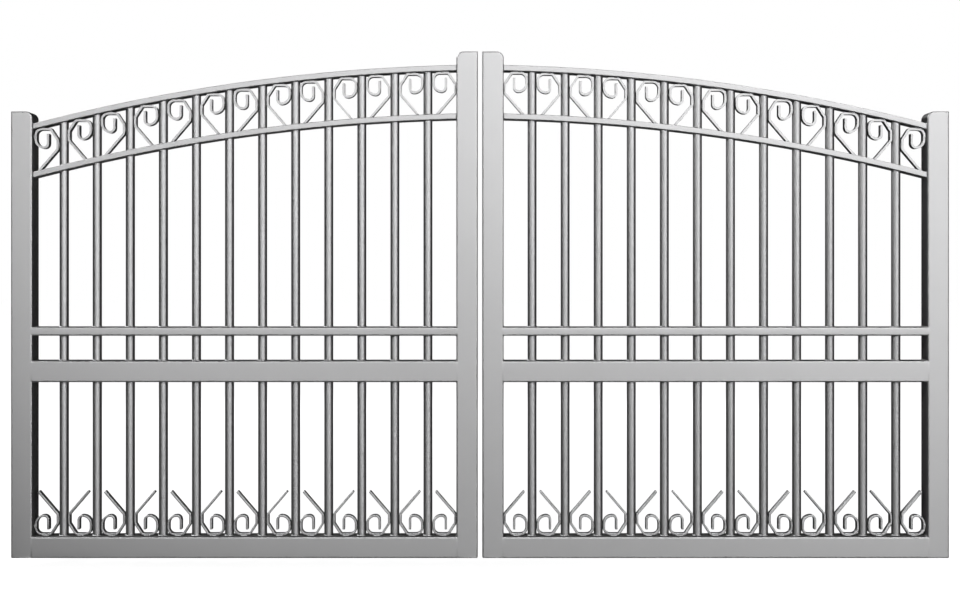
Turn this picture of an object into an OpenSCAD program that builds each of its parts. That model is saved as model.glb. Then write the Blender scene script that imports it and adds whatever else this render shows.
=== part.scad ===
// Double swing gate in welded aluminium tube.
// Two mirrored leaves under one shallow arch, hung on pins behind their hinge stiles.
// Pieces are written for the leaf on the +X side; the other leaf is its mirror image.
// Before placing: X runs from the middle of the gate, Y from its front plane
// towards the back, Z from the underside of the leaves.

/* [Leaf] */
// Half of the gap between the two meeting stiles
half_gap = 8; // [5:1:12]
// Outer width of one leaf
leaf_w = 1658; // [1560:1:1900]
// Height of the meeting stile, cap included
meeting_h = 1800; // [1760:1:1900]
// Height of the hinge stile, cap included
hinge_h = 1587; // [1575:1:1620]
// Side of the square frame tube
tube_w = 76; // [60:1:80]
// Wall of the square frame tube
tube_wall = 3; // [2:0.5:4]
// Outer corner radius of the frame tube
tube_r = 6; // [3:0.5:8]
// Height of the stile caps
cap_h = 30; // [26:1:40]
// Radius of the round inner top corner of a cap
cap_r = 24; // [10:1:25]

/* [Rails] */
// Underside of the lock rail
lock_rail_z = 625; // [500:1:700]
// Underside of the narrow middle rail
mid_rail_z = 790; // [780:1:900]
// Height of the narrow middle rail
mid_rail_h = 31; // [25:1:40]
// Wall of the narrow middle rail
mid_rail_wall = 2; // [1.5:0.5:3]

/* [Arched rails] */
// Radius of the arch, on the underside of both rails
arch_r = 6575; // [6400:5:6800]
// How far past the middle of the gate the centre of the arch lies
arch_offset = 58; // [0:1:80]
// Underside of the top rail where it meets the hinge stile
arch_foot_z = 1525; // [1515:0.5:1530]
// Drop from the top rail to the lower one
arch_drop = 172.5; // [160:0.5:180]
// Height of the arched rails
arch_h = 20; // [18:1:26]
// Depth of the arched rails
arch_d = 56; // [40:1:60]
// Wall of the arched rails
arch_wall = 2; // [1.5:0.5:3]
// Outer corner radius of the arched rails
arch_corner_r = 2.5; // [1:0.5:4]

/* [Bars] */
// Number of upright bars in a leaf
bar_count = 12; // [10:1:13]
// Outer diameter of a bar
bar_d = 32; // [25:1:34]
// Wall of a bar
bar_wall = 1.6; // [1.2:0.2:2.4]
// Length of bar hidden inside the rail at either end
bar_bite = 10; // [9:0.5:11]
// Play around a bar in its punched hole
punch_gap = 0.1; // [0.05:0.05:0.3]

/* [Scrolls] */
// Thickness of the flat bar
scroll_t = 8; // [6:0.5:10]
// Depth of the flat bar
scroll_d = 25; // [20:1:30]
// Corner from the base into the slanting part, from the flat side
scroll_base_u = 29; // [25:1:32]
// Lower end of the straight flat, from the base
scroll_flat_v0 = 42.5; // [40:0.5:46]
// Upper end of the straight flat, from the base
scroll_flat_v1 = 75.5; // [70:0.5:80]
// Slope of the free leg
scroll_leg_angle = 49.5; // [48:0.5:52]
// Length of the free leg
scroll_leg = 107; // [100:1:110]
// Height of the curl, from the base
scroll_curl_v = 70; // [66:1:76]
// Radius of the curl next to the base
scroll_base_r = 22; // [20:1:24]
// Radius of the curl's outer half
scroll_crown_r = 29; // [27:1:30]
// Radius of the curl's inner end
scroll_tip_r = 15; // [12:1:16]
// Height of the inner end of the curl above the base
scroll_tip_v = 21; // [18:1:26]
// Radius of the three bends between the base and the leg
scroll_bend_r = 8; // [6:1:14]

/* [Hinges] */
// Height of the middle of the lower wall plates
hinge_low_z = 200; // [150:5:260]
// Height of the middle of the upper wall plates
hinge_high_z = 1360; // [1200:5:1380]
// Diameter of a hinge pin
pin_d = 16; // [12:1:18]
// Radial play of the knuckle on its pin
pin_gap = 0.1; // [0.05:0.01:0.1]
// Distance of the pin inside the outer edge of the leaf
pin_inset = 6; // [4:1:10]
// Distance of the pin behind the back of the leaf
pin_back = 22; // [20:1:30]
// Outer diameter of the knuckle
knuckle_d = 28; // [26:1:30]
// Length of the knuckle
knuckle_h = 50; // [40:1:60]
// Thickness of the strap on the stile
strap_t = 6; // [5:1:8]
// Width of the strap
strap_w = 60; // [54:1:66]
// Height of the strap
strap_h = 118; // [110:1:130]
// Gap between the leaf and the pier
pier_gap = 26; // [26:1:30]
// Width of a wall plate along the pier
plate_w = 90; // [80:1:110]
// Height of a wall plate
plate_h = 140; // [130:1:160]
// Thickness of a wall plate
plate_t = 8; // [6:1:9]
// Anchor hole spacing along the pier
anchor_pitch_y = 36; // [30:1:42]
// Anchor hole spacing upwards
anchor_pitch_z = 100; // [90:1:110]
// Anchor hole diameter
anchor_d = 11; // [9:1:13]
// Thickness of the lug that carries the pin
lug_t = 12; // [10:1:16]

/* [Hidden] */
$fn = 48;
ARC_FN = 1440;
CORNER_STEPS = 4;
CURL_STEPS = 6;
BEND_STEPS = 3;
EPS = 1;
ALUMINIUM = [0.74, 0.75, 0.76];
STEEL = [0.55, 0.56, 0.58];

// Edges of the leaf and of its clear inside, in X
leaf_x0 = half_gap;
leaf_x1 = half_gap + leaf_w;
inner_x0 = leaf_x0 + tube_w;
inner_x1 = leaf_x1 - tube_w;
mid_y = tube_w / 2;

// Upright bars and the bays between them
bay_w = (inner_x1 - inner_x0 - bar_count * bar_d) / (bar_count + 1);
bar_pitch = bay_w + bar_d;
bar_x = [for (i = [1 : bar_count]) inner_x1 - i * bar_pitch + bar_d / 2];
bay_x = [for (i = [0 : bar_count]) inner_x1 - i * bar_pitch - bay_w];

// Arch: centre, height of its underside at x, and its slope there
arch_cx = -arch_offset;
arch_cz = arch_foot_z - sqrt(pow(arch_r, 2) - pow(inner_x1 - arch_cx, 2));
function arch_z(x, drop = 0) = arch_cz - drop + sqrt(pow(arch_r, 2) - pow(x - arch_cx, 2));
function arch_slope(x) = asin((x - arch_cx) / arch_r);

// What a sloping rail rises or falls across a bar, with room to spare
slope_room = bar_d / 2;

// Hinges: pin axis, and the wall plates behind the line of the leaves
pin_x = leaf_x1 - pin_inset;
pin_y = tube_w + pin_back;
plate_x = leaf_x1 + pier_gap;
plate_back = 8;
plate_y0 = tube_w + plate_back;
plate_mid_y = plate_y0 + plate_w / 2;
plate_r = 8;
anchor_shift = 11;
anchor_y = plate_mid_y + anchor_shift;

// Hinge heights, from the middle of a wall plate to the top of its lug, and up from there
lug_top = 15;
lug_r = 16;
gusset_t = 8;
gusset_h = 48;
gusset_nose = 2;
collar_d = 26;
collar_t = 3;
pin_top = 60;
pin_tip = 2;
knuckle_z = collar_t + 0.2;
strap_z = collar_t + 5;
strap_edge = 4;
strap_r = 6;
web_w = 14;
screw_d = 9;
screw_inset = 15;
screw_drop = 26;
screw_pitch = 34;

// Weep holes in the lowest walls
weep_d = 8;
weep_inset = 60;

// Least inner corner radius of the frame tube
least_void_r = 0.5;

// Points of an arc round c, from angle a0 to a1
function arc(c, r, a0, a1, steps) =
    [for (i = [0 : steps]) let (a = a0 + (a1 - a0) * i / steps) c + r * [cos(a), sin(a)]];

// Outline of a rectangle with round corners, from its lower left corner
function round_rect(w, h, r) = concat(
    arc([w - r, h - r], r, 0, 90, CORNER_STEPS),
    arc([r, h - r], r, 90, 180, CORNER_STEPS),
    arc([r, r], r, 180, 270, CORNER_STEPS),
    arc([w - r, r], r, 270, 360, CORNER_STEPS));

// Outline of a frame tube's inside, from the tube's lower left corner
function tube_void(h, wall) =
    let (r = max(tube_r - wall, least_void_r))
    [for (p = round_rect(tube_w - 2 * wall, h - 2 * wall, r)) p + [wall, wall]];

// Outline of a frame tube's foot and the height above it, round on one or both sides
function foot_outline(h, both) = concat(
    [[tube_w, h], [0, h]],
    arc([tube_r, tube_r], tube_r, 180, 270, CORNER_STEPS),
    both ? arc([tube_w - tube_r, tube_r], tube_r, 270, 360, CORNER_STEPS) : [[tube_w, 0]]);

// Outline of a flat bar of thickness t, bent along a path, with mitred corners
function unit(v) = v / norm(v);
function left_of(v) = [-v[1], v[0]];
function miter(path, i) =
    i == 0 ? left_of(unit(path[1] - path[0])) :
    i == len(path) - 1 ? left_of(unit(path[i] - path[i - 1])) :
    let (a = left_of(unit(path[i] - path[i - 1])),
         b = left_of(unit(path[i + 1] - path[i])))
    (a + b) / (1 + a * b);
function bent_bar(path, t) = concat(
    [for (i = [0 : len(path) - 1]) path[i] + miter(path, i) * t / 2],
    [for (i = [len(path) - 1 : -1 : 0]) path[i] - miter(path, i) * t / 2]);

// Points of a path's left-hand corner at b, between a and c, bent to radius r
function bend(a, b, c, r) =
    let (to_a = unit(a - b),
         to_c = unit(c - b),
         turn = 180 - acos(to_a * to_c),
         centre = b + unit(to_a + to_c) * r / cos(turn / 2),
         start = b + to_a * r * tan(turn / 2) - centre,
         start_angle = atan2(start[1], start[0]))
    arc(centre, r, start_angle, start_angle + turn, BEND_STEPS);

// Centre line of a scroll. u runs from its flat side to its curl, v away from its base.
flat_u = scroll_t / 2 + punch_gap;
curl_u = bay_w - scroll_t / 2 - punch_gap;
base_v = scroll_t / 2;
base_c = [curl_u - scroll_base_r, base_v + scroll_base_r];
crown_c = [curl_u - scroll_crown_r, scroll_curl_v - scroll_crown_r];
tip_c = [crown_c[0], scroll_curl_v - scroll_tip_r];
TIP_START = 105;
flat_top = [flat_u, scroll_flat_v1];
flat_foot = [flat_u, scroll_flat_v0];
base_start = [scroll_base_u, base_v];
leg_end = flat_top + scroll_leg * [cos(scroll_leg_angle), sin(scroll_leg_angle)];
scroll_path = concat(
    [leg_end],
    bend(leg_end, flat_top, flat_foot, scroll_bend_r),
    bend(flat_top, flat_foot, base_start, scroll_bend_r),
    bend(flat_foot, base_start, [base_c[0], base_v], scroll_bend_r),
    arc(base_c, scroll_base_r, -90, 0, CURL_STEPS),
    arc(crown_c, scroll_crown_r, 0, 90, CURL_STEPS),
    arc(tip_c, scroll_tip_r, TIP_START, 180, CURL_STEPS - 1),
    [[tip_c[0] - scroll_tip_r, scroll_tip_v]]);

// The origin is on the outer face of the left lower wall plate
module right() {
    translate([plate_x, -plate_mid_y, -hinge_low_z]) children();
}

module left() {
    right() mirror([1, 0, 0]) children();
}

// Frame tube standing on the leaf's bottom line. Its foot is closed but for a weep hole, and
// round except where the rail joins it; side is 1 if that is on +X, else -1.
module stile(x, height, side) {
    tube_h = height - cap_h;
    color(ALUMINIUM) translate([x + mid_y, 0, 0]) mirror([1 - side, 0, 0]) translate([-mid_y, 0, 0])
        difference() {
            intersection() {
                linear_extrude(tube_h) polygon(round_rect(tube_w, tube_w, tube_r));
                translate([0, tube_w, 0]) rotate([90, 0, 0]) linear_extrude(tube_w)
                    polygon(foot_outline(height, false));
                rotate([90, 0, 90]) linear_extrude(tube_w) polygon(foot_outline(height, true));
            }
            translate([0, 0, tube_wall]) linear_extrude(height) polygon(tube_void(tube_w, tube_wall));
            translate([mid_y, mid_y, -EPS]) cylinder(d = weep_d, h = tube_wall + 2 * EPS);
        }
}

// Upright slab with a flat top, one round corner on its +X side, and its foot below z = 0
module cap_slab(w, h, r, depth) {
    translate([0, depth / 2, 0]) rotate([90, 0, 0]) linear_extrude(depth)
        polygon(concat([[-w / 2, -h], [w / 2, -h]], arc([w / 2 - r, h - r], r, 0, 90, 2 * CORNER_STEPS),
            [[-w / 2, h]]));
}

// Welded cap with its edges rounded like the tube's; side is 1 if the round corner faces +X, else -1
module stile_cap(x, height, side) {
    inner_w = tube_w - 2 * tube_wall;
    color(ALUMINIUM) translate([x + tube_w / 2, mid_y, height - cap_h]) mirror([1 - side, 0, 0])
        difference() {
            intersection() {
                hull() for (i = [0 : CORNER_STEPS])
                    let (inset = tube_r * (1 - sin(90 * i / CORNER_STEPS)),
                         recess = tube_r * (1 - cos(90 * i / CORNER_STEPS)))
                    cap_slab(tube_w - 2 * inset, cap_h - inset, cap_r - inset, tube_w - 2 * recess);
                translate([-tube_w, -tube_w, 0]) cube([2 * tube_w, 2 * tube_w, 2 * cap_h]);
            }
            cap_slab(inner_w, cap_h - tube_wall, cap_r - tube_wall, inner_w);
        }
}

// Punched holes for the bars
module bar_holes(z, height) {
    for (x = bar_x)
        translate([x, mid_y, z]) cylinder(d = bar_d + 2 * punch_gap, h = height);
}

// Straight rail between the stiles; the top wall is punched, and the lower one if through
module rail(z, height, wall, through) {
    color(ALUMINIUM) difference() {
        translate([inner_x0, 0, z]) rotate([90, 0, 90]) linear_extrude(inner_x1 - inner_x0)
            polygon(round_rect(tube_w, height, tube_r));
        translate([inner_x0 - EPS, 0, z]) rotate([90, 0, 90])
            linear_extrude(inner_x1 - inner_x0 + 2 * EPS) polygon(tube_void(height, wall));
        bar_holes(through ? z - EPS : z + height / 2, height + 2 * EPS);
    }
}

module bottom_rail() {
    color(ALUMINIUM) difference() {
        rail(0, tube_w, tube_wall, false);
        for (x = [inner_x0 + weep_inset, inner_x1 - weep_inset])
            translate([x, mid_y, -EPS]) cylinder(d = weep_d, h = tube_wall + 2 * EPS);
    }
}

module lock_rail() {
    rail(lock_rail_z, tube_w, tube_wall, true);
}

module mid_rail() {
    rail(mid_rail_z, mid_rail_h, mid_rail_wall, true);
}

// Sweeps a section along the arch, past both stiles. In the section X runs outwards from the
// radius r, and Y from the middle of the rail to the front.
module arch_sweep(r, drop) {
    end_angle = acos((inner_x1 + EPS - arch_cx) / r);
    start_angle = acos((inner_x0 - EPS - arch_cx) / r);
    translate([arch_cx, mid_y, arch_cz - drop]) rotate([90, 0, 0]) rotate([0, 0, end_angle])
        rotate_extrude(angle = start_angle - end_angle, $fn = ARC_FN) translate([r, 0]) children();
}

// Curved rail between the stiles; the lower wall is punched, and the top one if through
module arch_rail(drop, through) {
    void_h = arch_h - 2 * arch_wall;
    void_d = arch_d - 2 * arch_wall;
    hole_h = through ? arch_h + 2 * slope_room : arch_h / 2 + slope_room;
    color(ALUMINIUM) difference() {
        intersection() {
            arch_sweep(arch_r, drop)
                translate([0, -arch_d / 2]) polygon(round_rect(arch_h, arch_d, arch_corner_r));
            translate([inner_x0, 0, 0]) cube([inner_x1 - inner_x0, tube_w, meeting_h]);
        }
        arch_sweep(arch_r + arch_wall, drop) translate([0, -void_d / 2]) square([void_h, void_d]);
        for (x = bar_x) translate([x, mid_y, arch_z(x, drop) - slope_room])
            cylinder(d = bar_d + 2 * punch_gap, h = hole_h);
    }
}

module lower_arch_rail() {
    arch_rail(arch_drop, true);
}

module top_arch_rail() {
    arch_rail(0, false);
}

// Tubes from inside the bottom rail to inside the top arched rail
module bars() {
    foot_z = tube_w - tube_wall - bar_bite;
    color(ALUMINIUM) for (x = bar_x) {
        length = arch_z(x) + bar_bite - foot_z;
        translate([x, mid_y, foot_z]) difference() {
            cylinder(d = bar_d, h = length);
            translate([0, 0, -EPS]) cylinder(d = bar_d - 2 * bar_wall, h = length + 2 * EPS);
        }
    }
}

// One scroll upright in the bay that starts at x, its flat on the -X side or, if turned, on +X
module scroll(x, turned) {
    translate([turned ? x + bay_w : x, mid_y + scroll_d / 2, 0]) mirror([turned ? 1 : 0, 0, 0])
        rotate([90, 0, 0]) linear_extrude(scroll_d) polygon(bent_bar(scroll_path, scroll_t));
}

function is_turned(bay) = bay % 2 == 1;

// Scrolls that stand on the bottom rail
module bottom_scrolls() {
    color(ALUMINIUM) for (bay = [0 : bar_count])
        translate([0, 0, tube_w]) scroll(bay_x[bay], is_turned(bay));
}

// Height at which a scroll's base just meets the underside of the top rail. The arch falls
// towards the hinge, so it meets the round end of the base on that side.
base_turn = atan2(scroll_flat_v0 - base_v, scroll_base_u - flat_u);
base_bend_u = scroll_base_u + scroll_bend_r * tan(base_turn / 2);
function hung_z(bay) =
    let (x = bay_x[bay] + (is_turned(bay) ? bay_w - base_bend_u : base_c[0]),
         r = base_v + (is_turned(bay) ? scroll_bend_r : scroll_base_r))
    arch_z(x) - r * (1 / cos(arch_slope(x)) - 1) - punch_gap;

// Scrolls that hang from the top rail, their legs trimmed to the lower one
module top_scrolls() {
    color(ALUMINIUM) difference() {
        for (bay = [0 : bar_count])
            translate([0, 0, hung_z(bay)]) mirror([0, 0, 1]) scroll(bay_x[bay], is_turned(bay));
        arch_sweep(arch_r, arch_drop)
            translate([-arch_h, -scroll_d]) square([2 * arch_h + punch_gap, 2 * scroll_d]);
    }
}

// Strap screwed to the back of the hinge stile, with the knuckle that turns on the pin
module hinge_strap(z) {
    color(STEEL) translate([pin_x, pin_y, z + lug_top]) difference() {
        union() {
            translate([strap_edge - strap_w, strap_t - pin_back, strap_z]) rotate([90, 0, 0])
                linear_extrude(strap_t) polygon(round_rect(strap_w, strap_h, strap_r));
            translate([strap_edge - web_w, EPS - pin_back, strap_z + strap_r])
                cube([web_w, pin_back - EPS, knuckle_z + knuckle_h - strap_z - strap_r]);
            translate([0, 0, knuckle_z]) cylinder(d = knuckle_d, h = knuckle_h);
        }
        cylinder(d = pin_d + 2 * pin_gap, h = 2 * knuckle_h);
        for (x = [screw_inset, strap_w - screw_inset], row = [0, 1])
            translate([strap_edge - x, -pin_back - EPS, strap_z + strap_h - screw_drop - row * screw_pitch])
                rotate([-90, 0, 0]) cylinder(d = screw_d, h = strap_t + 2 * EPS);
    }
}

// Plate for the side of a pier, with a lug and a rib that carry the pin
module wall_bracket(z) {
    face_x = plate_x - plate_t;
    color(STEEL) translate([0, 0, z]) difference() {
        union() {
            translate([face_x, plate_y0, -plate_h / 2]) rotate([90, 0, 90]) linear_extrude(plate_t)
                polygon(round_rect(plate_w, plate_h, plate_r));
            translate([pin_x, pin_y, lug_top - lug_t]) cylinder(r = lug_r, h = lug_t);
            translate([pin_x, pin_y - lug_r, lug_top - lug_t])
                cube([face_x - pin_x + EPS, 2 * lug_r, lug_t]);
            translate([face_x + EPS, pin_y + gusset_t / 2, lug_top - lug_t]) rotate([90, 0, 0])
                linear_extrude(gusset_t)
                polygon([[0, EPS], [pin_x + pin_d / 2 + gusset_nose - face_x, EPS], [0, -gusset_h]]);
        }
        translate([pin_x, pin_y, -gusset_h]) cylinder(d = pin_d + 2 * pin_gap, h = 2 * gusset_h);
        for (y = [-1, 1] * anchor_pitch_y / 2, up = [-1, 1] * anchor_pitch_z / 2)
            translate([face_x - EPS, anchor_y + y, up]) rotate([0, 90, 0])
                cylinder(d = anchor_d, h = plate_t + 2 * EPS);
    }
}

// Turned pin: shank through the lug, a collar on it, and a bevelled tip
module hinge_pin(z) {
    color(STEEL) translate([pin_x, pin_y, z + lug_top]) rotate_extrude() polygon([
        [0, -lug_t], [pin_d / 2, -lug_t], [pin_d / 2, 0], [collar_d / 2, 0],
        [collar_d / 2, collar_t], [pin_d / 2, collar_t],
        [pin_d / 2, pin_top - pin_tip], [pin_d / 2 - pin_tip, pin_top], [0, pin_top]]);
}

left() stile(inner_x1, hinge_h, -1);  // left_hinge_stile
left() stile(leaf_x0, meeting_h, 1);  // left_meeting_stile
left() stile_cap(inner_x1, hinge_h, -1);  // left_hinge_stile_cap
left() stile_cap(leaf_x0, meeting_h, 1);  // left_meeting_stile_cap
left() bottom_rail();  // left_bottom_rail
left() lock_rail();  // left_lock_rail
left() mid_rail();  // left_mid_rail
left() lower_arch_rail();  // left_lower_arch_rail
left() top_arch_rail();  // left_top_arch_rail
left() bars();  // left_bars
left() top_scrolls();  // left_top_scrolls
left() bottom_scrolls();  // left_bottom_scrolls
left() hinge_strap(hinge_low_z);  // left_lower_hinge_strap
left() hinge_strap(hinge_high_z);  // left_upper_hinge_strap
right() stile(inner_x1, hinge_h, -1);  // right_hinge_stile
right() stile(leaf_x0, meeting_h, 1);  // right_meeting_stile
right() stile_cap(inner_x1, hinge_h, -1);  // right_hinge_stile_cap
right() stile_cap(leaf_x0, meeting_h, 1);  // right_meeting_stile_cap
right() bottom_rail();  // right_bottom_rail
right() lock_rail();  // right_lock_rail
right() mid_rail();  // right_mid_rail
right() lower_arch_rail();  // right_lower_arch_rail
right() top_arch_rail();  // right_top_arch_rail
right() bars();  // right_bars
right() top_scrolls();  // right_top_scrolls
right() bottom_scrolls();  // right_bottom_scrolls
right() hinge_strap(hinge_low_z);  // right_lower_hinge_strap
right() hinge_strap(hinge_high_z);  // right_upper_hinge_strap
left() wall_bracket(hinge_low_z);  // left_lower_wall_bracket
left() wall_bracket(hinge_high_z);  // left_upper_wall_bracket
right() wall_bracket(hinge_low_z);  // right_lower_wall_bracket
right() wall_bracket(hinge_high_z);  // right_upper_wall_bracket
left() hinge_pin(hinge_low_z);  // left_lower_hinge_pin
left() hinge_pin(hinge_high_z);  // left_upper_hinge_pin
right() hinge_pin(hinge_low_z);  // right_lower_hinge_pin
right() hinge_pin(hinge_high_z);  // right_upper_hinge_pin
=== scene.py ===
"""Looks for the aluminium double swing gate: finishes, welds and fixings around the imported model."""

import math
import random

import bmesh
import bpy
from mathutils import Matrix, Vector
from mathutils.bvhtree import BVHTree


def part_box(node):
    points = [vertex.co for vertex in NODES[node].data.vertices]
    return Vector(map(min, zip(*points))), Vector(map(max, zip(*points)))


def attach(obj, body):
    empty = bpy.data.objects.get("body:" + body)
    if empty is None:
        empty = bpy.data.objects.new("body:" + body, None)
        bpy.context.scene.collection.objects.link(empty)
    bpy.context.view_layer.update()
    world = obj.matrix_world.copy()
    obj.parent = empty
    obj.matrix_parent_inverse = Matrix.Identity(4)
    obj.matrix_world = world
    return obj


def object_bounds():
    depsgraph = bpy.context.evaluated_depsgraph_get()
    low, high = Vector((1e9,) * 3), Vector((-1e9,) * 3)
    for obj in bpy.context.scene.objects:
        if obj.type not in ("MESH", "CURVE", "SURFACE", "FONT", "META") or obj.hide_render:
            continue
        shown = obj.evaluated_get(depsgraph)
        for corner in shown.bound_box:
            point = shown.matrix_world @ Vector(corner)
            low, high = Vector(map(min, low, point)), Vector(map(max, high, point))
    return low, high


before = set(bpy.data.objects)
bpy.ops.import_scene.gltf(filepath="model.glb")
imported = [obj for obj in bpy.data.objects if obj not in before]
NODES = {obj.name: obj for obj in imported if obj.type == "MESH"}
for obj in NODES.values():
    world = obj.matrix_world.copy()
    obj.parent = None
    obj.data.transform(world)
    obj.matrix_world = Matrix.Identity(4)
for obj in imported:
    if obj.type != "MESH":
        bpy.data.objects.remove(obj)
cad_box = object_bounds()

# ---------------------------------------------------------------- measures, in metres
# Taken from the frame
# Each leaf, with the direction along X from it to its hinges
LEAVES = {"left": -1, "right": 1}
FRONT_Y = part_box("left_bottom_rail")[0].y
BACK_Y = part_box("left_bottom_rail")[1].y
FOOT_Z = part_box("left_bottom_rail")[0].z
MIDDLE_X = (cad_box[0].x + cad_box[1].x) / 2
MIDDLE_Y = (FRONT_Y + BACK_Y) / 2
MIDDLE_Z = (cad_box[0].z + cad_box[1].z) / 2

# Camera: level and square to the gate, its lens shifted so that the gate sits in the frame
CAMERA_DISTANCE = 4.70
CAMERA_HEIGHT = 1.02
FOCAL_MM = 49.65
SENSOR_MM = 36.0
LENS_SHIFT = -0.0354
CLIP_END = 200.0

# Outer corner radius of the square tube, and the steps in which it is rounded
TUBE_R = 0.006
TUBE_STEPS = 4

# Clearance between the leaves and the ground, and half the side of the floor
GROUND_GAP = 0.05
FLOOR_HALF = 40.0

# Points closer than this are one point
WELD_GAP = 0.00001


# ---------------------------------------------------------------- node helpers
# Noise lies mostly between these
NOISE_LOW = 0.3
NOISE_HIGH = 0.7


def start_material(name):
    """A new material with only its output node."""
    material = bpy.data.materials.new(name)
    material.use_nodes = True
    nodes = material.node_tree.nodes
    nodes.clear()
    return material, nodes, material.node_tree.links, nodes.new("ShaderNodeOutputMaterial")


def stretched_coords(nodes, links, stretch):
    """Object coordinates, squeezed along each axis by stretch."""
    coords = nodes.new("ShaderNodeTexCoord")
    mapping = nodes.new("ShaderNodeMapping")
    mapping.inputs["Scale"].default_value = stretch
    links.new(coords.outputs["Object"], mapping.inputs["Vector"])
    return mapping.outputs["Vector"]


def noise(nodes, links, coords, scale, detail, roughness=0.5):
    """Cloudy noise from 0 to 1."""
    node = nodes.new("ShaderNodeTexNoise")
    node.inputs["Scale"].default_value = scale
    node.inputs["Detail"].default_value = detail
    node.inputs["Roughness"].default_value = roughness
    links.new(coords, node.inputs["Vector"])
    return node.outputs["Fac"]


def spread(nodes, links, fac, low, high):
    """Maps the middle of a noise to the range from low to high."""
    node = nodes.new("ShaderNodeMapRange")
    node.inputs["From Min"].default_value = NOISE_LOW
    node.inputs["From Max"].default_value = NOISE_HIGH
    node.inputs["To Min"].default_value = low
    node.inputs["To Max"].default_value = high
    links.new(fac, node.inputs["Value"])
    return node.outputs["Result"]


def mix_colour(nodes, links, fac, dark, light):
    """From dark to light by fac. A mix node's colours are inputs 6 and 7 and output 2."""
    node = nodes.new("ShaderNodeMix")
    node.data_type = "RGBA"
    links.new(fac, node.inputs["Factor"])
    node.inputs[6].default_value = (*dark, 1.0)
    node.inputs[7].default_value = (*light, 1.0)
    return node.outputs[2]


def bump(nodes, links, height, strength, distance, normal=None):
    """A normal that follows height, on top of another normal if one is given."""
    node = nodes.new("ShaderNodeBump")
    node.inputs["Strength"].default_value = strength
    node.inputs["Distance"].default_value = distance
    links.new(height, node.inputs["Height"])
    if normal is not None:
        links.new(normal, node.inputs["Normal"])
    return node.outputs["Normal"]


# ---------------------------------------------------------------- finishes
# The flakes in a silver coat lie flat, so a face is bright where a lamp stands right before it,
# and dark where all lamps are at a slant. The spread, as a share of a right angle, comes from the
# fit that make_lamps names. So did the share at first, 0.905, and it was then raised.
FLAKE_SHARE = 0.965
FLAKE_SPREAD = 0.323
# Depth of the die lines and of the orange peel, how strongly they show, and the grain of the peel
LINE_DEPTH = 0.0003
PEEL_DEPTH = 0.0002
RELIEF = 0.06
PEEL_SCALE = 700.0
# Grain of the mottled colour and of the roughness
MOTTLE_SCALE = 7.0
ROUGHNESS_SCALE = 45.0
# Reflection and roughness of the paint without its flakes
SPECULAR = 0.15
ROUGHNESS = (0.45, 0.6)


def flake_coat(name, dark, light, grain):
    """Silver satin coat on a drawn section: mottling, orange peel and faint die lines along grain."""
    material, nodes, links, output = start_material(name)
    even = stretched_coords(nodes, links, (1.0, 1.0, 1.0))
    drawn = stretched_coords(nodes, links, grain)
    mottle = noise(nodes, links, even, MOTTLE_SCALE, detail=4.0, roughness=0.6)
    colour = mix_colour(nodes, links, mottle, dark, light)
    lines = bump(nodes, links, noise(nodes, links, drawn, 1.0, 2.0), RELIEF, LINE_DEPTH)
    peel = noise(nodes, links, even, PEEL_SCALE, 1.0)
    normal = bump(nodes, links, peel, RELIEF, PEEL_DEPTH, lines)
    worn = noise(nodes, links, even, ROUGHNESS_SCALE, 3.0)

    body = nodes.new("ShaderNodeBsdfPrincipled")
    body.inputs["Specular IOR Level"].default_value = SPECULAR
    links.new(colour, body.inputs["Base Color"])
    links.new(spread(nodes, links, worn, *ROUGHNESS), body.inputs["Roughness"])
    links.new(normal, body.inputs["Normal"])

    flake = nodes.new("ShaderNodeBsdfToon")
    flake.inputs["Size"].default_value = 0.0
    flake.inputs["Smooth"].default_value = FLAKE_SPREAD
    links.new(colour, flake.inputs["Color"])
    links.new(normal, flake.inputs["Normal"])

    coat = nodes.new("ShaderNodeMixShader")
    coat.inputs["Fac"].default_value = FLAKE_SHARE
    links.new(body.outputs["BSDF"], coat.inputs[1])
    links.new(flake.outputs["BSDF"], coat.inputs[2])
    links.new(coat.outputs["Shader"], output.inputs["Surface"])
    return material


# Squeeze of the die lines along each axis: they run up, across, or nowhere
UPRIGHT = (300.0, 300.0, 3.0)
LEVEL = (3.0, 300.0, 300.0)
EVEN = (60.0, 60.0, 60.0)
DARK_SILVER = (0.60, 0.60, 0.605)
LIGHT_SILVER = (0.64, 0.64, 0.645)
upright_coat = flake_coat("upright_coat", DARK_SILVER, LIGHT_SILVER, UPRIGHT)
level_coat = flake_coat("level_coat", DARK_SILVER, LIGHT_SILVER, LEVEL)
weld_coat = flake_coat("weld_coat", DARK_SILVER, LIGHT_SILVER, EVEN)
steel = flake_coat("hinge_zinc", (0.40, 0.41, 0.42), (0.50, 0.51, 0.52), EVEN)
screw_steel = flake_coat("screw_steel", (0.50, 0.50, 0.51), (0.60, 0.60, 0.61), EVEN)


def is_upright(name):
    """Whether a CAD node gets die lines that run up."""
    return "stile" in name or "bars" in name or "scrolls" in name


def is_steel(name):
    """Whether a CAD node belongs to the hinges."""
    return "strap" in name or "bracket" in name or "pin" in name


# ---------------------------------------------------------------- shading of the CAD nodes
# Faces that meet at less than this shade as one
SMOOTH_ANGLE = math.radians(35)
# Rounding of the scrolls' edges, and of the sharp edges of the arched rails and the pins
FLAT_BAR_EDGE = 0.0022
SMALL_EDGE = 0.0012
EDGE_SEGMENTS = 3


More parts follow.
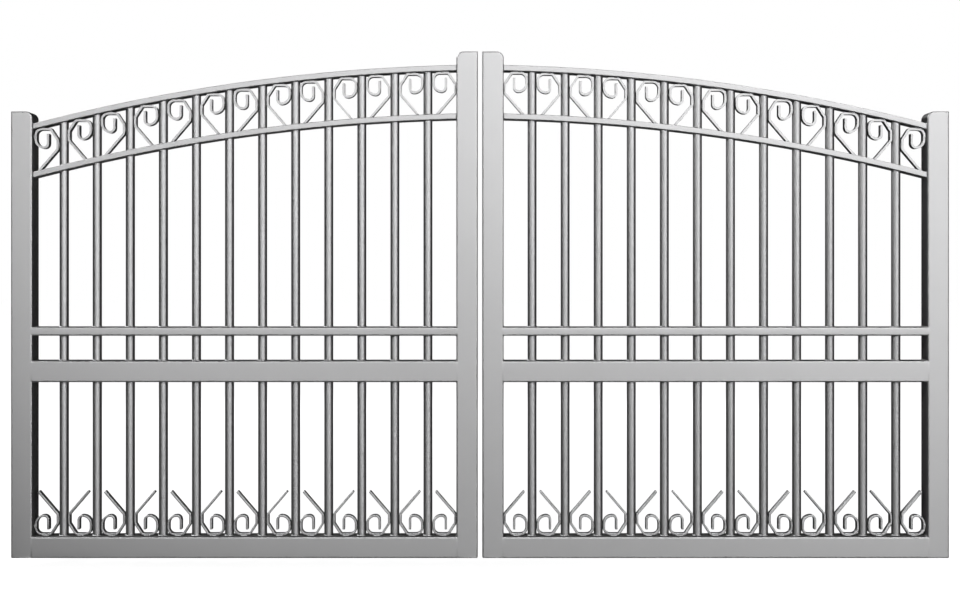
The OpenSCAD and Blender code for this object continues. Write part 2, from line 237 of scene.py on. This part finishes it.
def make_smoother():
    """Geometry nodes that shade faces smooth, and keep edges over SMOOTH_ANGLE sharp."""
    group = bpy.data.node_groups.new("smooth_by_angle", "GeometryNodeTree")
    group.interface.new_socket("Geometry", in_out="INPUT", socket_type="NodeSocketGeometry")
    group.interface.new_socket("Geometry", in_out="OUTPUT", socket_type="NodeSocketGeometry")
    nodes, links = group.nodes, group.links
    start, end = nodes.new("NodeGroupInput"), nodes.new("NodeGroupOutput")
    faces = nodes.new("GeometryNodeSetShadeSmooth")
    edges = nodes.new("GeometryNodeSetShadeSmooth")
    edges.domain = "EDGE"
    angle = nodes.new("GeometryNodeInputMeshEdgeAngle")
    small = nodes.new("FunctionNodeCompare")
    small.operation = "LESS_THAN"
    small.inputs["B"].default_value = SMOOTH_ANGLE
    links.new(start.outputs[0], faces.inputs["Geometry"])
    links.new(faces.outputs[0], edges.inputs["Geometry"])
    links.new(angle.outputs["Unsigned Angle"], small.inputs["A"])
    links.new(small.outputs["Result"], edges.inputs["Shade Smooth"])
    links.new(edges.outputs[0], end.inputs[0])
    return group


smoother = make_smoother()


def dress(node, material, bevel):
    """Joins a CAD node's faces, rounds its sharp edges by bevel, and shades it smooth."""
    node.data.materials.clear()
    node.data.materials.append(material)
    weld = node.modifiers.new("join_faces", "WELD")
    weld.merge_threshold = WELD_GAP
    if bevel > 0:
        edge = node.modifiers.new("edge_round", "BEVEL")
        edge.width = bevel
        edge.segments = EDGE_SEGMENTS
        edge.limit_method = "ANGLE"
        edge.angle_limit = SMOOTH_ANGLE
        edge.use_clamp_overlap = True
    node.modifiers.new("smooth", "NODES").node_group = smoother
    normals = node.modifiers.new("normals", "WEIGHTED_NORMAL")
    normals.keep_sharp = True


def bevel_of(name):
    """Edge rounding of a CAD node. Plates and straps have none, as it draws lines between holes."""
    if "scrolls" in name:
        return FLAT_BAR_EDGE
    if "arch_rail" in name or "hinge_pin" in name:
        return SMALL_EDGE
    return 0.0


for name, node in NODES.items():
    material = steel if is_steel(name) else upright_coat if is_upright(name) else level_coat
    dress(node, material, bevel_of(name))


# ---------------------------------------------------------------- reading the frame
def solids(name):
    """Corner points of each separate solid in a CAD node, in order along X."""
    mesh = bmesh.new()
    mesh.from_mesh(NODES[name].data)
    bmesh.ops.remove_doubles(mesh, verts=mesh.verts, dist=WELD_GAP)
    mesh.verts.index_update()
    found, seen = [], set()
    for first in mesh.verts:
        if first.index in seen:
            continue
        seen.add(first.index)
        reached, points = [first], []
        while reached:
            vert = reached.pop()
            points.append(vert.co.copy())
            for edge in vert.link_edges:
                other = edge.other_vert(vert)
                if other.index not in seen:
                    seen.add(other.index)
                    reached.append(other)
        found.append(points)
    mesh.free()
    return sorted(found, key=lambda points: min(p.x for p in points))


def extent(points):
    """Lowest and highest corner of the box round some points."""
    low = Vector([min(p[axis] for p in points) for axis in range(3)])
    high = Vector([max(p[axis] for p in points) for axis in range(3)])
    return low, high


def skin(name):
    """Search tree over the faces of a CAD node."""
    mesh = NODES[name].data
    return BVHTree.FromPolygons([v.co for v in mesh.vertices], [tuple(f.vertices) for f in mesh.polygons])


# How far a ray looks for a surface
REACH = 2.0


def height_on(tree, x, y, z, up):
    """Height at which a ray from x, y, z meets a skin, going up (1) or down (-1)."""
    hit = tree.ray_cast(Vector((x, y, z)), Vector((0, 0, up)), REACH)[0]
    return hit.z


def stile_faces(side):
    """Inner faces of a leaf's stiles: x, and the direction along X from the rails into the stile."""
    boxes = [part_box(f"{side}_{kind}_stile") for kind in ("hinge", "meeting")]
    left, right = sorted(boxes, key=lambda box: box[0].x)
    return [(left[1].x, -1), (right[0].x, 1)]


# ---------------------------------------------------------------- mesh tools
def loft(rings, closed=False):
    """Points and faces of a skin over rings of points, capped, or joined end to end if closed."""
    size, count = len(rings[0]), len(rings)
    points = [point for ring in rings for point in ring]
    faces = []
    for i in range(count if closed else count - 1):
        here, there = i * size, (i + 1) % count * size
        faces += [(here + j, here + (j + 1) % size, there + (j + 1) % size, there + j) for j in range(size)]
    if not closed:
        faces.append(tuple(reversed(range(size))))
        faces.append(tuple(range((count - 1) * size, count * size)))
    return points, faces


def add_piece(name, shapes, material, body):
    """One object from many point-and-face shapes, with its faces turned outwards."""
    points, faces = [], []
    for shape_points, shape_faces in shapes:
        start = len(points)
        points += shape_points
        faces += [tuple(start + i for i in face) for face in shape_faces]
    mesh = bpy.data.meshes.new(name)
    mesh.from_pydata(points, [], faces)
    edit = bmesh.new()
    edit.from_mesh(mesh)
    bmesh.ops.remove_doubles(edit, verts=edit.verts, dist=WELD_GAP / 10)
    bmesh.ops.recalc_face_normals(edit, faces=edit.faces)
    edit.to_mesh(mesh)
    edit.free()
    mesh.materials.append(material)
    piece = bpy.data.objects.new(name, mesh)
    bpy.context.scene.collection.objects.link(piece)
    piece.modifiers.new("smooth", "NODES").node_group = smoother
    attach(piece, body)
    return piece


# ---------------------------------------------------------------- welds
# A bead is a row of ripples. Each station of its path is a corner point and two directions
# that run from the corner along the surfaces it joins.
# How much longer and shorter than its leg a bead is by turns, the distance between stations, how
# far the root lies inside the metal, and the crown's rise as a share of the face's width
RIPPLE = 0.00014
STATION_PITCH = 0.0014
BEAD_ROOT = 0.0003
BEAD_CROWN = 0.16
# Size of an open bead's end stations, and of the ones next to them, as shares of the full size
BEAD_TIP = 0.35
BEAD_NECK = 0.8
LEAST_STEPS = 4


def bead_ring(corner, along_a, along_b, leg):
    """Section of a bead: its crowned face from one surface to the other, and its root."""
    a, b = corner + along_a * leg, corner + along_b * leg
    out = (along_a + along_b).normalized()
    rise = (a - b).length * BEAD_CROWN
    face = [a.lerp(b, t) + out * rise * 4 * t * (1 - t) for t in (0, 1 / 3, 2 / 3, 1)]
    return face + [corner - out * BEAD_ROOT]


def bead(stations, leg, closed=False):
    """Ripples along a path; an open one thins out at both ends."""
    rings = []
    last = len(stations) - 1
    for i, (corner, along_a, along_b) in enumerate(stations):
        size = leg + (RIPPLE if i % 2 else -RIPPLE)
        if not closed and i in (0, last):
            size *= BEAD_TIP
        elif not closed and i in (1, last - 1):
            size *= BEAD_NECK
        rings.append(bead_ring(corner, along_a, along_b, size))
    return loft(rings, closed)


def straight_bead(start, end, along_a, along_b, leg):
    """A bead along a straight corner."""
    count = max(LEAST_STEPS, round((end - start).length / STATION_PITCH))
    stations = [(start.lerp(end, i / count), along_a, along_b) for i in range(count + 1)]
    return bead(stations, leg)


# Leg of the small beads, a step off a surface, and the distance from the top of a bar, or from
# either end of a hanging scroll, to a point between the arched rails
BAR_LEG = 0.002
EDGE_STEP = 0.001
ARCH_CLEAR = 0.06


def ring_bead(x, y, z, radius, slope, up):
    """A bead round a bar, on a rail's top (up 1) or underside (-1), which rises by slope along X."""
    count = 2 * round(math.pi * radius / STATION_PITCH)
    stations = []
    for i in range(count):
        angle = 2 * math.pi * i / count
        outward = Vector((math.cos(angle), math.sin(angle), slope * math.cos(angle)))
        corner = Vector((x, y, z)) + outward * radius
        stations.append((corner, outward.normalized(), Vector((0, 0, up))))
    return bead(stations, BAR_LEG, closed=True)


def arch_crossing(tree, x, radius, z, up):
    """Height and slope of an arched rail's surface where a bar passes through it."""
    reach = radius + BAR_LEG
    before, after = (height_on(tree, x + step, MIDDLE_Y, z, up) for step in (-reach, reach))
    return (before + after) / 2, (after - before) / (2 * reach)


def bar_welds(side):
    """Beads round every bar, wherever it meets a rail."""
    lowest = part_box(f"{side}_bottom_rail")[1].z
    levels = [(lowest, 1)]
    for rail in ("lock", "mid"):
        low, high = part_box(f"{side}_{rail}_rail")
        levels += [(low.z, -1), (high.z, 1)]
    below, above = skin(f"{side}_lower_arch_rail"), skin(f"{side}_top_arch_rail")
    welds = []
    for points in solids(f"{side}_bars"):
        low, high = extent(points)
        x, radius = (low.x + high.x) / 2, (high.x - low.x) / 2
        welds += [ring_bead(x, MIDDLE_Y, z, radius, 0.0, up) for z, up in levels]
        under = arch_crossing(below, x, radius, levels[-1][0] + EDGE_STEP, 1)
        over = arch_crossing(below, x, radius, high.z - ARCH_CLEAR, -1)
        top = arch_crossing(above, x, radius, high.z - ARCH_CLEAR, 1)
        for (z, slope), up in ((under, -1), (over, 1), (top, -1)):
            welds.append(ring_bead(x, MIDDLE_Y, z, radius, slope, up))
    return welds


# Leg of the beads in a tube rail's inner corners, corner radius of the arched rails, the steps
# round a quarter turn of it, and how far from a stile the arch's slope is taken
RAIL_LEG = 0.0025
ARCH_R = 0.0025
CORNER_STEPS = 3
SLOPE_STEP = 0.02


def corner_fill(x, into, face_y, inward, low_z, high_z):
    """Weld ground flush between the end of a tube rail and the rounded edge of its stile."""
    rise = [(TUBE_R * (1 - math.sin(a)), TUBE_R * (1 - math.cos(a)))
            for a in (math.pi / 2 * i / TUBE_STEPS for i in range(TUBE_STEPS + 1))]
    stations = [(depth, low_z + step) for depth, step in rise]
    stations += [(depth, high_z - step) for depth, step in reversed(rise)]
    rings = []
    for depth, z in stations:
        ring = [Vector((x, face_y + inward * depth, z))]
        for i in range(TUBE_STEPS + 1):
            deep = depth + (TUBE_R - depth) * i / TUBE_STEPS
            reach = TUBE_R - math.sqrt(max(0.0, TUBE_R ** 2 - (TUBE_R - deep) ** 2))
            ring.append(Vector((x + into * reach, face_y + inward * deep, z)))
        rings.append(ring)
    return loft(rings)


def rail_welds(side):
    """Ground fills on both faces, and beads in the inner corners, where tube rails meet the stiles."""
    fills, beads = [], []
    for rail in ("bottom", "lock", "mid"):
        low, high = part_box(f"{side}_{rail}_rail")
        for x, into in stile_faces(side):
            for face_y, inward in ((low.y, 1), (high.y, -1)):
                fills.append(corner_fill(x, into, face_y, inward, low.z, high.z))
            for z, up in ((low.z, -1), (high.z, 1)):
                if z > FOOT_Z + TUBE_R:
                    start, end = Vector((x, low.y + TUBE_R, z)), Vector((x, high.y - TUBE_R, z))
                    along = Vector((0, 0, up)), Vector((-into, 0, 0))
                    beads.append(straight_bead(start, end, *along, RAIL_LEG))
    return fills, beads


def rounded_outline(low, high, r):
    """Points and outward directions round a rectangle in Y and Z, a station's pitch apart."""
    corners = [(high.y - r, high.z - r), (low.y + r, high.z - r),
               (low.y + r, low.z + r), (high.y - r, low.z + r)]
    found = []
    for i, (y, z) in enumerate(corners):
        for step in range(CORNER_STEPS + 1):
            angle = math.radians(90 * i + 90 // CORNER_STEPS * step)
            out = Vector((0, math.cos(angle), math.sin(angle)))
            found.append((Vector((0, y, z)) + out * r, out))
        next_y, next_z = corners[(i + 1) % 4]
        count = round((abs(next_y - y) + abs(next_z - z)) / STATION_PITCH)
        start, side_out = found[-1]
        run = Vector((0, next_y - y, next_z - z))
        found += [(start + run * k / count, side_out) for k in range(1, count)]
    return found


def arch_end_welds(side):
    """Beads all round the ends of the arched rails, on the inner faces of the stiles."""
    welds = []
    for rail in ("lower", "top"):
        name = f"{side}_{rail}_arch_rail"
        tree, (low, high) = skin(name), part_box(name)
        for x, into in stile_faces(side):
            near, far = x - into * EDGE_STEP, x - into * SLOPE_STEP
            under = height_on(tree, near, MIDDLE_Y, low.z - EDGE_STEP, 1)
            over = height_on(tree, near, MIDDLE_Y, high.z + EDGE_STEP, -1)
            slope = (height_on(tree, far, MIDDLE_Y, low.z - EDGE_STEP, 1) - under) / (far - near)
            along = Vector((-into, 0, -into * slope)).normalized()
            box = Vector((0, low.y, under)), Vector((0, high.y, over))
            stations = [(Vector((x, p.y, p.z)), out, along) for p, out in rounded_outline(*box, ARCH_R)]
            welds.append(bead(stations, BAR_LEG, closed=True))
    return welds


# Where a scroll is welded, measured from its base: on its flat side, and on its curl
FLAT_WELD = (0.048, 0.070)
CURL_WELD = (0.027, 0.040)
# Where its base is welded, measured from its flat side
BASE_WELD = (0.036, 0.058)
# Legs of the beads in a groove and on an edge, and length of the one under the top rail
GROOVE_LEG = 0.006
SCROLL_LEG = 0.003
HUNG_WELD = 0.009
# How much of a leg's end is looked at, and how near a stile a scroll counts as touching it
LEG_END = 0.004
TOUCH = 0.001


def groove_beads(x, away, low_z, high_z, radius):
    """Beads in the two grooves between a scroll's flat and the round bar that it touches at x."""
    gap = radius - math.sqrt(radius ** 2 - GROOVE_LEG ** 2)
    welds = []
    for out in (-1, 1):
        on_bar = Vector((away * gap, out * GROOVE_LEG, 0)).normalized()
        start, end = Vector((x, MIDDLE_Y, low_z)), Vector((x, MIDDLE_Y, high_z))
        welds.append(straight_bead(start, end, Vector((0, out, 0)), on_bar, GROOVE_LEG))
    return welds


def edge_beads(start, end, half_depth, along):
    """Beads on the front and back edges of a scroll, where it stands on a face."""
    welds = []
    for out in (-1, 1):
        side = Vector((0, out, 0))
        shift = side * half_depth
        welds.append(straight_bead(start + shift, end + shift, along, side, SCROLL_LEG))
    return welds


def side_weld(x, away, z_pair, half_depth, radius, stiles):
    """A scroll's weld to the bar or the stile beside it."""
    if min(abs(x - face) for face in stiles) > TOUCH:
        return groove_beads(x, away, *z_pair, radius)
    start, end = (Vector((x, MIDDLE_Y, z)) for z in z_pair)
    return edge_beads(start, end, half_depth, Vector((-away, 0, 0)))


def leg_end(points, far_z):
    """Places along X of the points at the free end of a scroll's leg."""
    return [p.x for p in points if abs(p.z - far_z) < LEG_END]


def hung_beads(ends, leg, base, far_z, half_depth, out, rails):
    """Beads of a hanging scroll: to the top rail where its base meets it, and at its leg's end."""
    below, above = rails
    contact = ends[1] if out > 0 else ends[0]
    welds = []
    for tree, x_pair, start_z, way in (
            (above, (contact - out * HUNG_WELD, contact), base - ARCH_CLEAR, 1),
            (below, (min(leg), max(leg)), far_z + ARCH_CLEAR, -1)):
        spots = [Vector((x, MIDDLE_Y, height_on(tree, x, MIDDLE_Y, start_z, way))) for x in x_pair]
        welds += edge_beads(*spots, half_depth, Vector((0, 0, -way)))
    return welds


def one_scroll_welds(points, up, out, radius, stiles, rails):
    """Welds of a scroll that stands on the bottom rail (up 1) or hangs from the top one (-1)."""
    low, high = extent(points)
    base, far_z = (low.z, high.z) if up > 0 else (high.z, low.z)
    leg = leg_end(points, far_z)
    run = 1 if sum(leg) / len(leg) > (low.x + high.x) / 2 else -1
    flat_x, curl_x = (low.x, high.x) if run > 0 else (high.x, low.x)
    half = (high.y - low.y) / 2
    welds = []
    for x, away, reach in ((flat_x, -run, FLAT_WELD), (curl_x, run, CURL_WELD)):
        heights = sorted(base + up * v for v in reach)
        welds += side_weld(x, away, heights, half, radius, stiles)
    ends = sorted(flat_x + run * u for u in BASE_WELD)
    if up < 0:
        return welds + hung_beads(ends, leg, base, far_z, half, out, rails)
    spots = [Vector((x, MIDDLE_Y, base)) for x in ends]
    return welds + edge_beads(*spots, half, Vector((0, 0, 1)))


def scroll_welds(side, out):
    """Every scroll's welds; out is the direction along X from the leaf to its hinges."""
    bar_low, bar_high = extent(solids(f"{side}_bars")[0])
    radius = (bar_high.x - bar_low.x) / 2
    stiles = [x for x, _ in stile_faces(side)]
    rails = skin(f"{side}_lower_arch_rail"), skin(f"{side}_top_arch_rail")
    welds = []
    for row, up in (("bottom", 1), ("top", -1)):
        for points in solids(f"{side}_{row}_scrolls"):
            welds += one_scroll_welds(points, up, out, radius, stiles, rails)
    return welds


# ---------------------------------------------------------------- hinges
# Wall plate: its thickness and its lug's, half the length of the lug's weld, half the thickness
# of the rib under the lug, the length of the rib's welds, and the leg of all these beads
PLATE_T = 0.008
LUG_T = 0.012
LUG_HALF = 0.015
GUSSET_HALF = 0.004
GUSSET_WELD = 0.044
STEEL_LEG = 0.004
# Strap: its thickness, the distance from the pin's axis to the side of its web, and where the
# web's weld starts and ends above the lug
STRAP_T = 0.006
WEB_REACH = 0.010
WEB_WELD = (0.015, 0.052)
# Screws: across from the strap's inner edge, and down from its top
SCREW_ACROSS = (0.015, 0.045)
SCREW_DOWN = (0.026, 0.060)


def bracket_welds(side, level, out):
    """Beads between a wall plate and the lug and rib that carry the pin."""
    low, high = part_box(f"{side}_{level}_wall_bracket")
    pin_low, pin_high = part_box(f"{side}_{level}_hinge_pin")
    face = (high.x if out > 0 else low.x) - out * PLATE_T
    pin_y = (pin_low.y + pin_high.y) / 2
    lug_top = pin_low.z + LUG_T
    off_plate = Vector((-out, 0, 0))
    ends = [Vector((face, pin_y + step, lug_top)) for step in (-LUG_HALF, LUG_HALF)]
    welds = [straight_bead(*ends, Vector((0, 0, 1)), off_plate, STEEL_LEG)]
    for way in (-1, 1):
        y = pin_y + way * GUSSET_HALF
        ends = [Vector((face, y, pin_low.z - drop)) for drop in (GUSSET_WELD, 0.0)]
        welds.append(straight_bead(*ends, Vector((0, way, 0)), off_plate, STEEL_LEG))
    return welds


def strap_welds(side, level, out):
    """Bead between a strap and the web that carries its knuckle."""
    pin_low, pin_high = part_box(f"{side}_{level}_hinge_pin")
    x = (pin_low.x + pin_high.x) / 2 - out * WEB_REACH
    ends = [Vector((x, BACK_Y + STRAP_T, pin_low.z + LUG_T + rise)) for rise in WEB_WELD]
    return [straight_bead(*ends, Vector((-out, 0, 0)), Vector((0, 1, 0)), BAR_LEG)]


# M8 hexagon screw with its washer, as rings: each one's radius, or for the head its share of the
# full size, and its height above the strap
WASHER = ((0.0078, 0.0), (0.0080, 0.0002), (0.0080, 0.0013), (0.0077, 0.0016))
HEAD_HALF = 0.0065
HEAD = ((1.0, 0.0016), (1.0, 0.0060), (0.97, 0.0069))
SCREW_POINTS = 24


def hex_radius(angle):
    """Distance from the middle of a screw head to its side, at an angle."""
    return HEAD_HALF / math.cos((angle + math.pi / 6) % (math.pi / 3) - math.pi / 6)


def screw(x, y, z, turn):
    """A washer and a hexagon head turned by an angle, standing on y and facing the back."""
    angles = [2 * math.pi * i / SCREW_POINTS for i in range(SCREW_POINTS)]

    def ring(radii, height):
        """Points at a height above y, each at its own radius."""
        return [Vector((x + r * math.cos(a + turn), y + height, z + r * math.sin(a + turn)))
                for r, a in zip(radii, angles)]

    washer = [ring([r] * SCREW_POINTS, height) for r, height in WASHER]
    widest = HEAD_HALF / math.cos(math.pi / 6)
    head = []
    for share, height in HEAD:
        limit = widest if share == 1.0 else HEAD_HALF * share
        head.append(ring([min(hex_radius(a), limit) for a in angles], height))
    return [loft(washer), loft(head)]


def strap_screws(side, level, out):
    """The four screws that hold a strap to its stile."""
    low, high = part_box(f"{side}_{level}_hinge_strap")
    inner = low.x if out > 0 else high.x
    found = []
    for across in SCREW_ACROSS:
        for down in SCREW_DOWN:
            turn = random.uniform(0, math.pi / 3)
            found += screw(inner + out * across, BACK_Y + STRAP_T, high.z - down, turn)
    return found


SCREW_TURN_SEED = 7
random.seed(SCREW_TURN_SEED)
for side, out in LEAVES.items():
    body = f"{side}_leaf"
    fills, corner_beads = rail_welds(side)
    add_piece(f"{side}_ground_welds", fills, level_coat, body)
    add_piece(f"{side}_frame_welds", corner_beads + arch_end_welds(side), weld_coat, body)
    add_piece(f"{side}_bar_welds", bar_welds(side), weld_coat, body)
    add_piece(f"{side}_scroll_welds", scroll_welds(side, out), weld_coat, body)
    for level in ("lower", "upper"):
        add_piece(f"{side}_{level}_strap_weld", strap_welds(side, level, out), steel, body)
        add_piece(f"{side}_{level}_strap_screws", strap_screws(side, level, out), screw_steel,
                  body)
        add_piece(f"{side}_{level}_bracket_welds", bracket_welds(side, level, out), steel,
                  "pier_hinges")


# ---------------------------------------------------------------- stage
def seen_or_mirrored(nodes, links):
    """1 for what the camera, a reflection or a view through glass meets, else 0."""
    path = nodes.new("ShaderNodeLightPath")
    total = path.outputs["Is Camera Ray"]
    for name in ("Is Glossy Ray", "Is Transmission Ray"):
        add = nodes.new("ShaderNodeMath")
        add.operation = "ADD"
        add.use_clamp = True
        links.new(total, add.inputs[0])
        links.new(path.outputs[name], add.inputs[1])
        total = add.outputs[0]
    return total


def lifted(nodes, links, low, high):
    """From low for light on the object to high for what is seen."""
    level = nodes.new("ShaderNodeMapRange")
    level.inputs["To Min"].default_value = low
    level.inputs["To Max"].default_value = high
    links.new(seen_or_mirrored(nodes, links), level.inputs["Value"])
    return level.outputs["Result"]


# What the floor gives off where it is seen, up to NEAR_R and beyond FAR_R from the frame's
# origin. Near the gate the lamps add the rest.
NEAR_GLOW = 0.93
FAR_GLOW = 1.0
NEAR_R = 1.7
FAR_R = 3.5
# Colour of the floor's paint under the lamps, and the world's light on the object
FLOOR_PAINT = 0.2
WORLD_FILL = 0.004


def far_glow(nodes, links):
    """From the near glow to the far one, by the distance from the frame's origin, at the left end."""
    coords = nodes.new("ShaderNodeTexCoord")
    reach = nodes.new("ShaderNodeVectorMath")
    reach.operation = "LENGTH"
    ramp = nodes.new("ShaderNodeMapRange")
    ramp.inputs["From Min"].default_value = NEAR_R
    ramp.inputs["From Max"].default_value = FAR_R
    ramp.inputs["To Min"].default_value = NEAR_GLOW
    ramp.inputs["To Max"].default_value = FAR_GLOW
    links.new(coords.outputs["Object"], reach.inputs[0])
    links.new(reach.outputs["Value"], ramp.inputs["Value"])
    return ramp.outputs["Result"]


def make_floor():
    """White floor: lit paint that takes shadows, lifted to white where it is seen."""
    material, nodes, links, output = start_material("floor_white")
    paint = nodes.new("ShaderNodeBsdfDiffuse")
    paint.inputs["Color"].default_value = (FLOOR_PAINT, FLOOR_PAINT, FLOOR_PAINT, 1.0)
    glow = nodes.new("ShaderNodeEmission")
    level = lifted(nodes, links, 0.0, NEAR_GLOW)
    links.new(far_glow(nodes, links), level.node.inputs["To Max"])
    links.new(level, glow.inputs["Strength"])
    both = nodes.new("ShaderNodeAddShader")
    links.new(paint.outputs[0], both.inputs[0])
    links.new(glow.outputs[0], both.inputs[1])
    links.new(both.outputs[0], output.inputs["Surface"])

    mesh = bpy.data.meshes.new("floor")
    z = FOOT_Z - GROUND_GAP
    corners = [(MIDDLE_X + sx * FLOOR_HALF, FRONT_Y + sy * FLOOR_HALF, z)
               for sx, sy in ((-1, -1), (1, -1), (1, 1), (-1, 1))]
    mesh.from_pydata(corners, [], [(0, 1, 2, 3)])
    floor = bpy.data.objects.new("floor", mesh)
    bpy.context.scene.collection.objects.link(floor)
    floor.data.materials.append(material)


def make_world():
    """White where it is seen, and only a faint fill on the object."""
    world = bpy.data.worlds.new("studio")
    bpy.context.scene.world = world
    world.use_nodes = True
    nodes, links = world.node_tree.nodes, world.node_tree.links
    nodes.clear()
    output = nodes.new("ShaderNodeOutputWorld")
    background = nodes.new("ShaderNodeBackground")
    background.inputs["Color"].default_value = (1.0, 1.0, 1.0, 1.0)
    links.new(lifted(nodes, links, WORLD_FILL, 1.0), background.inputs["Strength"])
    links.new(background.outputs[0], output.inputs["Surface"])


def add_lamp(name, right, front, up, light, size):
    """A square lamp, placed from the middle of the gate's front at its foot and aimed at the gate.

    White paint that faces it at the gate's middle is as bright as light.
    """
    target = Vector((MIDDLE_X, FRONT_Y, MIDDLE_Z))
    place = Vector((MIDDLE_X + right, FRONT_Y - front, FOOT_Z + up))
    data = bpy.data.lights.new(name, "AREA")
    data.size = size
    data.energy = light * math.pi ** 2 * (place - target).length_squared
    lamp = bpy.data.objects.new(name, data)
    bpy.context.scene.collection.objects.link(lamp)
    lamp.location = place
    lamp.rotation_euler = (target - place).to_track_quat("-Z", "Y").to_euler()
    lamp.visible_camera = False


def make_lamps():
    """Four front lamps, one above, one at each end and two behind.

    The places and strengths of the four front lamps are what a least-squares fit to grey levels
    of the photo gave. It left side_lamp at two of the limits that were set for it. Only the
    strengths of right_lamp and left_lamp were then changed. The sizes of all lamps, and
    the other five lamps, were given one by one.
    """
    add_lamp("low_lamp", 1.62, 7.64, 0.74, 0.18, 1.0)
    add_lamp("side_lamp", -4.0, 3.0, 4.4, 0.84, 1.2)
    add_lamp("right_lamp", 1.76, 5.41, 3.2, 0.35, 0.8)
    add_lamp("left_lamp", -1.29, 5.0, 2.23, 0.24, 0.8)
    add_lamp("top_lamp", 0.0, -0.04, 8.0, 0.07, 5.0)
    add_lamp("right_end_lamp", 6.0, -0.04, 1.95, 0.08, 0.06)
    add_lamp("left_end_lamp", -6.0, -0.04, 1.95, 0.08, 0.06)
    add_lamp("right_back_lamp", 1.6, -6.5, 2.0, 0.2, 1.0)
    add_lamp("left_back_lamp", -1.6, -6.5, 2.0, 0.2, 1.0)


def make_camera():
    """The camera in front of the gate."""
    data = bpy.data.cameras.new("camera")
    data.lens = FOCAL_MM
    data.sensor_width = SENSOR_MM
    data.shift_y = LENS_SHIFT
    data.clip_end = CLIP_END
    camera = bpy.data.objects.new("camera", data)
    bpy.context.scene.collection.objects.link(camera)
    camera.location = (MIDDLE_X, FRONT_Y - CAMERA_DISTANCE, FOOT_Z + CAMERA_HEIGHT)
    camera.rotation_euler = (math.radians(90), 0, 0)
    bpy.context.scene.camera = camera


make_floor()
make_world()
make_lamps()
make_camera()
bpy.context.scene.view_settings.view_transform = "Standard"
